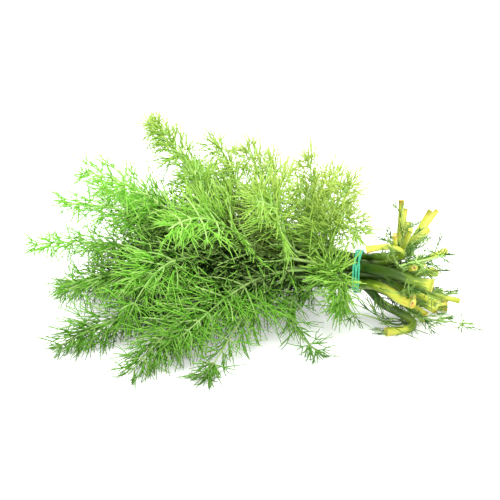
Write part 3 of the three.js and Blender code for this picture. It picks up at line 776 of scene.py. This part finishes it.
def stem_skin(colours):
    """A dill stem's skin: ribbed and waxy, dark green for most of its length, ripening to yellow-green
    towards the cut, where its last edge has dried and browned. Its UV map runs along the stem from the cut,
    in centimetres."""
    material, tree, skin = new_material("Dill stem skin", **{"Roughness": 0.38, "Specular IOR Level": 0.4})
    place = add_node(tree, "ShaderNodeTexCoord")
    apart = add_node(tree, "ShaderNodeSeparateXYZ", {}, {"Vector": place.outputs["UV"]})
    blotches = add_node(
        tree,
        "ShaderNodeTexNoise",
        {"Scale": per_mm(9), "Detail": 2.0},
        {"Vector": place.outputs["Object"]},
    )
    # Streaks are over a centimetre long and a sixteenth of the way round.
    drawn_out = add_node(tree, "ShaderNodeMapping", {"Scale": (0.8, 16, 1)}, {"Vector": place.outputs["UV"]})
    streaks = add_node(
        tree,
        "ShaderNodeTexNoise",
        {"Scale": 1.0, "Detail": 2.0},
        {"Vector": drawn_out.outputs["Vector"]},
    )
    blotched = add_node(
        tree,
        "ShaderNodeMapRange",
        {"From Min": 0.3, "From Max": 0.7, "To Min": -0.5, "To Max": 0.5},
        {"Value": blotches.outputs["Fac"]},
    )
    streaked = add_node(
        tree,
        "ShaderNodeMapRange",
        {"From Min": 0.3, "From Max": 0.7, "To Min": -0.6, "To Max": 0.6},
        {"Value": streaks.outputs["Fac"]},
    )
    uneven = add_node(
        tree,
        "ShaderNodeMath",
        {"operation": "ADD"},
        {0: blotched.outputs["Result"], 1: streaked.outputs["Result"]},
    )
    from_cut = add_node(
        tree,
        "ShaderNodeMath",
        {"operation": "ADD"},
        {0: apart.outputs["X"], 1: uneven.outputs[0]},
    )
    share = add_node(
        tree,
        "ShaderNodeMapRange",
        {"From Min": 0.0, "From Max": 4.0},
        {"Value": from_cut.outputs[0]},
    )
    tone = add_node(
        tree,
        "ShaderNodeValToRGB",
        {
            "stops": (
                (0.0, colours.stem_light),
                (0.16, colours.stem_light),
                (0.36, colours.stem_middle),
                (0.7, colours.stem_dark),
            )
        },
        {"Fac": share.outputs["Result"]},
    )
    edge = add_node(
        tree,
        "ShaderNodeMapRange",
        {"From Min": -0.55, "From Max": 0.1, "To Min": 0.68, "To Max": 0.0},
        {"Value": from_cut.outputs[0]},
    )
    browned = add_node(
        tree,
        "ShaderNodeMix",
        {"data_type": "RGBA", MIX_B: colours.torn},
        {MIX_FACTOR: edge.outputs["Result"], MIX_A: tone.outputs["Color"]},
    )
    tree.links.new(browned.outputs[MIX_RESULT], skin.inputs["Base Color"])
    return material


def cut_pith(colours):
    """The cut face of a stem: wet, pale, spongy tissue that has browned here and there."""
    material, tree, skin = new_material("Cut dill pith", **{"Roughness": 0.55})
    place = add_node(tree, "ShaderNodeTexCoord")
    noise = add_node(
        tree,
        "ShaderNodeTexNoise",
        {"Scale": per_mm(5), "Detail": 3.0},
        {"Vector": place.outputs["Object"]},
    )
    dried = add_node(
        tree,
        "ShaderNodeMapRange",
        {"From Min": 0.52, "From Max": 0.66},
        {"Value": noise.outputs["Fac"]},
    )
    tone = add_node(
        tree,
        "ShaderNodeMix",
        {"data_type": "RGBA", MIX_A: colours.pith, MIX_B: colours.torn},
        {MIX_FACTOR: dried.outputs["Result"]},
    )
    tree.links.new(tone.outputs[MIX_RESULT], skin.inputs["Base Color"])
    return material


def band_rubber(colours):
    """Natural rubber, dyed and cut into a band, with a soft satin sheen. Pale patches spread by noise are
    painted highlights.
    """
    material, tree, skin = new_material("Dyed natural rubber", **{"Roughness": 0.45, "IOR": 1.52})
    place = add_node(tree, "ShaderNodeTexCoord")
    noise = add_node(
        tree,
        "ShaderNodeTexNoise",
        {"Scale": per_mm(3), "Detail": 3.0},
        {"Vector": place.outputs["Object"]},
    )
    # Painted highlight: pale patches, spread by noise, over the darker rubber.
    tone = add_node(
        tree,
        "ShaderNodeMix",
        {"data_type": "RGBA", MIX_A: colours.band, MIX_B: colours.band_painted_highlight},
        {MIX_FACTOR: noise.outputs["Fac"]},
    )
    tree.links.new(tone.outputs[MIX_RESULT], skin.inputs["Base Color"])
    return material


def opal_sheet(colours):
    """The opal acrylic of a light table, matt and faintly lit from below, with a very faint mottle."""
    glow = {"Emission Color": colours.floor, "Emission Strength": 0.35}
    material, tree, skin = new_material(
        "Opal acrylic", **{"Roughness": 0.9, "Specular IOR Level": 0.1}, **glow
    )
    place = add_node(tree, "ShaderNodeTexCoord")
    noise = add_node(
        tree,
        "ShaderNodeTexNoise",
        {"Scale": per_mm(60), "Detail": 2.0},
        {"Vector": place.outputs["Object"]},
    )
    tone = add_node(
        tree,
        "ShaderNodeMix",
        {"data_type": "RGBA", MIX_A: colours.floor, MIX_B: colours.floor_mottle},
        {MIX_FACTOR: noise.outputs["Fac"]},
    )
    tree.links.new(tone.outputs[MIX_RESULT], skin.inputs["Base Color"])
    return material


# ---------- Stems and band ----------
def smooth_route(points, steps):
    """Points on a smooth line through these points, steps of them in each bay, each with how many bays lie
    behind it."""
    route = []
    for i in range(len(points) - 1):
        a, b = points[i], points[i + 1]
        before = points[max(i - 1, 0)]
        after = points[min(i + 2, len(points) - 1)]
        reach = (b - a).length / 3
        lead = a + (b - before).normalized() * reach
        lag = b - (after - a).normalized() * reach
        bay = interpolate_bezier(a, lead, lag, b, steps + 1)[:-1]
        route += [(p, i + k / steps) for k, p in enumerate(bay)]
    return route + [(points[-1], len(points) - 1)]


def ribbed_section(ribs):
    """A closed outline one unit across its radius, with low ribs, that is swept along a stem."""
    outline = bpy.data.curves.new("Stem section", "CURVE")
    outline.dimensions = "2D"
    spline = outline.splines.new("POLY")
    spline.points.add(2 * ribs - 1)
    for k, point in enumerate(spline.points):
        angle = math.pi * k / ribs
        radius = MM * (RIDGE if k % 2 else GROOVE)
        point.co = (radius * math.cos(angle), radius * math.sin(angle), 0, 1)
    spline.use_cyclic_u = True
    return bpy.data.objects.new("Stem section", outline)


def swept(name, points, radii, section=None, closed=False):
    """A mesh swept through points, in table millimetres, with these radii."""
    line = bpy.data.curves.new(name, "CURVE")
    line.dimensions = "3D"
    line.use_fill_caps = not closed
    if section:
        line.bevel_mode = "OBJECT"
        line.bevel_object = section
    else:
        line.bevel_depth = MM
        line.bevel_resolution = 2
    spline = line.splines.new("POLY")
    spline.points.add(len(points) - 1)
    for point, place, radius in zip(spline.points, points, radii):
        point.co = (*on_part(place), 1)
        point.radius = radius
    spline.use_cyclic_u = closed
    holder = bpy.data.objects.new(name, line)
    bpy.context.scene.collection.objects.link(holder)
    made = mesh_of(holder)
    bpy.data.curves.remove(line)
    return made


def cut_end(mesh, centre, radius, hollow):
    """Gives a stem's cut face a rim of skin and a sunken disc of pith, hollow millimetres deep."""
    work = bmesh.new()
    work.from_mesh(mesh)
    target = on_part(centre)
    reach = CUT_REACH * radius * MM
    caps = [f for f in work.faces if all((v.co - target).length < reach for v in f.verts)]
    normal = sum((f.normal for f in caps), Vector()).normalized()
    facing = 0.9  # the cosine of a face that looks the same way as the cut does
    caps = [f for f in caps if f.normal.dot(normal) > facing]
    face = bmesh.ops.dissolve_faces(work, faces=caps)["region"]
    rings = []
    for width, depth in ((RIM, 0), (RIM_STEP, -hollow), (PITH_RING, 0), (PITH_STEP, -2 * hollow)):
        inset = bmesh.ops.inset_region(work, faces=face, thickness=width * radius * MM, depth=depth * MM)
        rings.append(inset["faces"])
    rim, pith = rings[0] + rings[1], rings[2] + rings[3] + face
    for f in pith:
        f.material_index = STEM_PITH
    way_along = work.loops.layers.uv.active
    for f in rim + pith:
        for loop in f.loops:
            loop[way_along].uv = (0, 0)
    for v in work.verts:
        v.co.z = max(v.co.z, 0)
    for f in work.faces:
        f.smooth = f not in pith
    work.to_mesh(mesh)
    work.free()


def measure_from_cut(mesh, length, ripe):
    """Turns the UV map's way along a stem into centimetres from its cut, fewer of them on a riper stem."""
    mm_in_cm = 10
    for loop in mesh.uv_layers[0].data:
        loop.uv.x = (1 - loop.uv.x) * length / mm_in_cm / ripe


def grow_stem(name, index, section, materials):
    """One stem over its CAD rings, a little wider at its cut, with stubs of leaves that were pulled off."""
    rings = STEM_RINGS[name]
    route = smooth_route([centre for centre, _ in rings], STEM_BAYS)
    radii = []
    for _, passed in route:
        i = min(int(passed), len(rings) - 2)
        radii.append(rings[i][1] + (rings[i + 1][1] - rings[i][1]) * (passed - i))
    flare = 1 + FLARE * draw(index, FLARE_KEY)
    for back in range(FLARE_RINGS):
        radii[-1 - back] *= 1 + (flare - 1) * (1 - back / FLARE_RINGS) ** 2
    points = [above_surface(p, r) for (p, _), r in zip(route, radii)]
    made = swept(f"visual_stem_{name}", points, radii, section)
    length = sum((q - p).length for p, q in zip(points, points[1:]))
    drawn = LEAST_RIPE + RIPE_VARIES * draw(index, RIPE_KEY)
    measure_from_cut(made, length, RIPE.get(name, RIPE_ON_TOP if points[-1].z > TOP else drawn))
    cut_end(made, points[-1], radii[-1], LEAST_HOLLOW + HOLLOW_VARIES * draw(index, HOLLOW_KEY))
    work = bmesh.new()
    work.from_mesh(made)
    work.from_mesh(leaf_stubs(name, points, radii, materials))
    work.to_mesh(made)
    work.free()
    return piece(f"visual_stem_{name}", made, materials)


def leaf_stubs(name, points, radii, materials):
    """Forked stubs of small leaves on a stem past the band."""
    growth = Growth(f"stubs {name}", bpy.context.scene.dill_sizes, materials)
    ends = [k for k in range(1, len(points) - 2) if points[k].x > 2 * CUT_START]
    for _ in range(STUBS):
        k = growth.random.choice(ends)
        forward = (points[k + 1] - points[k]).normalized()
        around = Vector([growth.between(-1, 1) for _ in range(3)])
        out = level_with(around, forward)
        root = points[k] + out * radii[k] * STUB_ROOT
        stub = growth.fork(root, forward, out, growth.between(*STUB_LENGTHS), STUB_LEAVE, STUB_BEND)
        growth.arc(stub, *STUB_RADII, STEM_LEAF, 3)
        forks = growth.sides(stub, forward.cross(out), ORDERS["thread"], TINE_PAIRS)
        for root, ahead, side, _, length in forks:
            tine = growth.fork(root, ahead, side, length * TINE_LENGTH, TINE_LEAVE, TINE_BEND)
            growth.arc(tine, *TINE_RADII, STEM_LEAF, 2)
    return growth.mesh()


def band_outline():
    """The line that the band follows round the stems, in table millimetres, from its CAD node."""
    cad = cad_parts["band"]
    centre = Vector((0, 0, BAND_HEIGHT))
    found = {}
    for vertex in cad.data.vertices:
        place = (cad.matrix_world @ vertex.co) / MM - UNDER_BAND - centre
        corner = round(math.degrees(math.atan2(place.z, place.y)) / (360 / BAND_CORNERS))
        found.setdefault(corner % BAND_CORNERS, []).append(Vector((0, place.y, place.z)))
    return [centre + sum(found[c], Vector()) / len(found[c]) for c in sorted(found)]


def wound_strand(outline, turn, thickness):
    """One turn of the band, which wanders across the band's width as it goes round."""
    points, radii = [], []
    for k, place in enumerate(outline):
        angle = 2 * math.pi * k / len(outline)
        wander = (BAND_WIDTH - thickness) / 2 * math.sin(angle + turn * 2 * math.pi / BAND_TURNS)
        points.append(place + Vector((wander, 0, 0)))
        radii.append(thickness / 2)
    return points, radii


# ---------- Operators ----------
class DILL_OT_fronds(bpy.types.Operator):
    """Grow the leafy fronds and the small leaves near the cut ends"""

    bl_idname = "dill.fronds"
    bl_label = "Grow the fronds"

    def execute(self, context):
        sizes, colours = context.scene.dill_sizes, context.scene.dill_colours
        materials = [pale_rib(colours), fresh_leaf(colours)]
        for index, (name, shape) in enumerate(FRONDS.items()):
            (start, _), (behind, _) = STEM_RINGS[name][:2]
            growth = Growth(f"visual_frond_{name}", sizes, materials)
            grow_frond(growth, start, (start - behind).normalized(), shape, (index, FROND_KEY))
            frond = piece(growth.name, growth.mesh())
            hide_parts(f"frond_{name}")
        shade = shaded_leaf(colours)
        for index, (name, shape) in enumerate(SPRIGS.items()):
            growth = Growth(f"visual_{name}", sizes, [materials[0], shade])
            start, heading = self.sprig_root(shape)
            grow_frond(growth, start, heading, shape, (index, SPRIG_KEY), SPRIG_THICKNESS)
            sprig = piece(growth.name, growth.mesh())
            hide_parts(name)
        return {"FINISHED"}

    @staticmethod
    def sprig_root(shape):
        """Where a small leaf leaves its stem, and the way it leaves, straight out from the bundle."""
        rings = STEM_RINGS[shape["stem"]]
        packed = min(rings, key=lambda ring: abs(ring[0].x))[0]
        outward = Vector((0, packed.y, packed.z - BAND_HEIGHT))
        route = smooth_route([centre for centre, _ in rings], STEM_BAYS)
        past = [p for p, _ in route if p.x > CUT_START]
        far = 0
        for a, b in zip(past, past[1:]):
            far += (b - a).length
            if far > shape["along"]:
                break
        heading = level_with(outward, (b - a).normalized())
        return b + heading * rings[-1][1] * SPRIG_ROOT, heading


class DILL_OT_stems(bpy.types.Operator):
    """Make the cut stems"""

    bl_idname = "dill.stems"
    bl_label = "Make the stems"

    def execute(self, context):
        sizes, colours = context.scene.dill_sizes, context.scene.dill_colours
        materials = [stem_skin(colours), cut_pith(colours), shaded_leaf(colours)]
        section = ribbed_section(sizes.stem_ribs)
        for index, name in enumerate(FRONDS):
            stem = grow_stem(name, index, section, materials)
            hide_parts(f"stem_{name}")
        bpy.data.curves.remove(section.data)
        return {"FINISHED"}


class DILL_OT_band(bpy.types.Operator):
    """Wind the rubber band round the stems"""

    bl_idname = "dill.band"
    bl_label = "Wind the band"

    def execute(self, context):
        sizes, colours = context.scene.dill_sizes, context.scene.dill_colours
        outline = band_outline()
        work = bmesh.new()
        for turn in range(BAND_TURNS):
            points, radii = wound_strand(outline, turn, sizes.strand_thickness / MM)
            work.from_mesh(swept("strand", points, radii, closed=True))
        made = bpy.data.meshes.new("visual_band")
        work.to_mesh(made)
        work.free()
        band = piece("visual_band", made, [band_rubber(colours)])
        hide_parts("band")
        return {"FINISHED"}


class DILL_OT_stage(bpy.types.Operator):
    """Lay the floor, set the lights and place the camera"""

    bl_idname = "dill.stage"
    bl_label = "Set the stage"

    LENS = 85
    DISTANCE = 0.7556  # from the aim, in metres
    AIM = Vector((-69, -10, 44))  # in table millimetres
    AZIMUTH = 12  # degrees
    ELEVATION = 24
    FLOOR_SIZE = 40  # metres, so that no edge shows from any side
    ROOM_STRENGTH = 0.5
    # Each light's name, the way to it, how many degrees wide it is, and its strength.
    LIGHTS = (
        ("key", (-0.15, 0.3, 1.2), 50, 4.2),
        ("fill", (0.3, -0.9, 0.9), 70, 3.6),
    )

    def execute(self, context):
        scene = context.scene
        scene.view_settings.view_transform = "Standard"
        self.lay_floor(scene.dill_colours)
        self.place_camera(scene)
        self.set_lights(scene)
        return {"FINISHED"}

    def lay_floor(self, colours):
        work = bmesh.new()
        bmesh.ops.create_grid(work, x_segments=1, y_segments=1, size=self.FLOOR_SIZE)
        made = bpy.data.meshes.new("floor")
        work.to_mesh(made)
        work.free()
        made.materials.append(opal_sheet(colours))
        floor = bpy.data.objects.new("floor", made)
        bpy.context.scene.collection.objects.link(floor)

    def place_camera(self, scene):
        turn, tilt = math.radians(self.AZIMUTH), math.radians(self.ELEVATION)
        back = Vector((math.sin(turn) * math.cos(tilt), -math.cos(turn) * math.cos(tilt), math.sin(tilt)))
        camera = bpy.data.objects.new("camera", bpy.data.cameras.new("camera"))
        camera.data.lens = self.LENS
        camera.location = on_part(self.AIM) + back * self.DISTANCE
        camera.rotation_euler = (-back).to_track_quat("-Z", "Y").to_euler()
        scene.collection.objects.link(camera)
        scene.camera = camera

    def set_lights(self, scene):
        """A white room, with a large soft light overhead and a softer, weaker one in front on the right."""
        world = bpy.data.worlds.new("White room")
        world.use_nodes = True
        room = world.node_tree.nodes["Background"]
        room.inputs["Color"].default_value = (1, 1, 1, 1)
        room.inputs["Strength"].default_value = self.ROOM_STRENGTH
        scene.world = world
        for name, way, width, strength in self.LIGHTS:
            light = bpy.data.objects.new(name, bpy.data.lights.new(name, "SUN"))
            light.data.angle = math.radians(width)
            light.data.energy = strength
            light.rotation_euler = (-Vector(way)).to_track_quat("-Z", "Y").to_euler()
            scene.collection.objects.link(light)


class DILL_PT_panel(bpy.types.Panel):
    """The bunch's sizes, colours and steps"""

    bl_label = "Dill bunch"
    bl_idname = "DILL_PT_panel"
    bl_space_type = "VIEW_3D"
    bl_region_type = "UI"
    bl_category = "Dill"

    def draw(self, context):
        for group in (context.scene.dill_sizes, context.scene.dill_colours):
            for name in group.__annotations__:
                self.layout.prop(group, name)
        for step in STEPS:
            self.layout.operator(step.bl_idname)


STEPS = (DILL_OT_stage, DILL_OT_stems, DILL_OT_band, DILL_OT_fronds)
CLASSES = (DillSizes, DillColours, *STEPS, DILL_PT_panel)


def register():
    for each in CLASSES:
        bpy.utils.register_class(each)
    bpy.types.Scene.dill_sizes = PointerProperty(type=DillSizes)
    bpy.types.Scene.dill_colours = PointerProperty(type=DillColours)


def unregister():
    del bpy.types.Scene.dill_colours
    del bpy.types.Scene.dill_sizes
    for each in reversed(CLASSES):
        bpy.utils.unregister_class(each)


def main():
    """Makes the scene step by step."""
    register()
    for step in STEPS:
        group, name = step.bl_idname.split(".")
        getattr(getattr(bpy.ops, group), name)()


if __name__ == "__main__":
    main()
